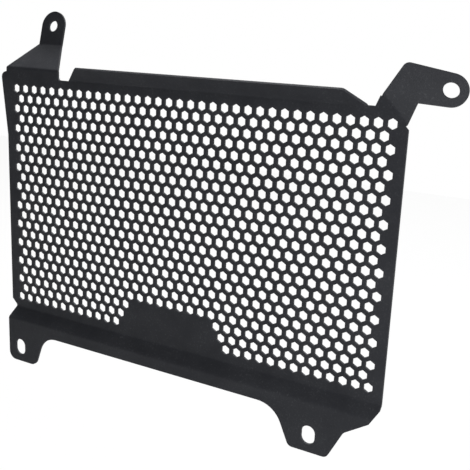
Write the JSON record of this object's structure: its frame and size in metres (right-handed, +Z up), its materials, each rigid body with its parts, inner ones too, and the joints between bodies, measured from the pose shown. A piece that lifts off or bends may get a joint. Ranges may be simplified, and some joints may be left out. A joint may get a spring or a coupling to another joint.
{
  "type": "motorcycle radiator guard",
  "caption": "Folded guard plate with hexagonal perforation, a narrow top lip, two bolt ears and a lower flange with slotted tabs.",
  "frame": {"origin": "middle of the perforated panel, on its rear face", "axes": "+X across the guard to the end with the diagonal ear, +Y towards the radiator, +Z up"},
  "size_m": [0.3195, 0.0312, 0.2534],
  "materials": {
    "black_powder_coat": "textured black powder coat"
  },
  "bodies": {
    "root": {"guard_plate": "black_powder_coat"}
  },
  "joints": []
}
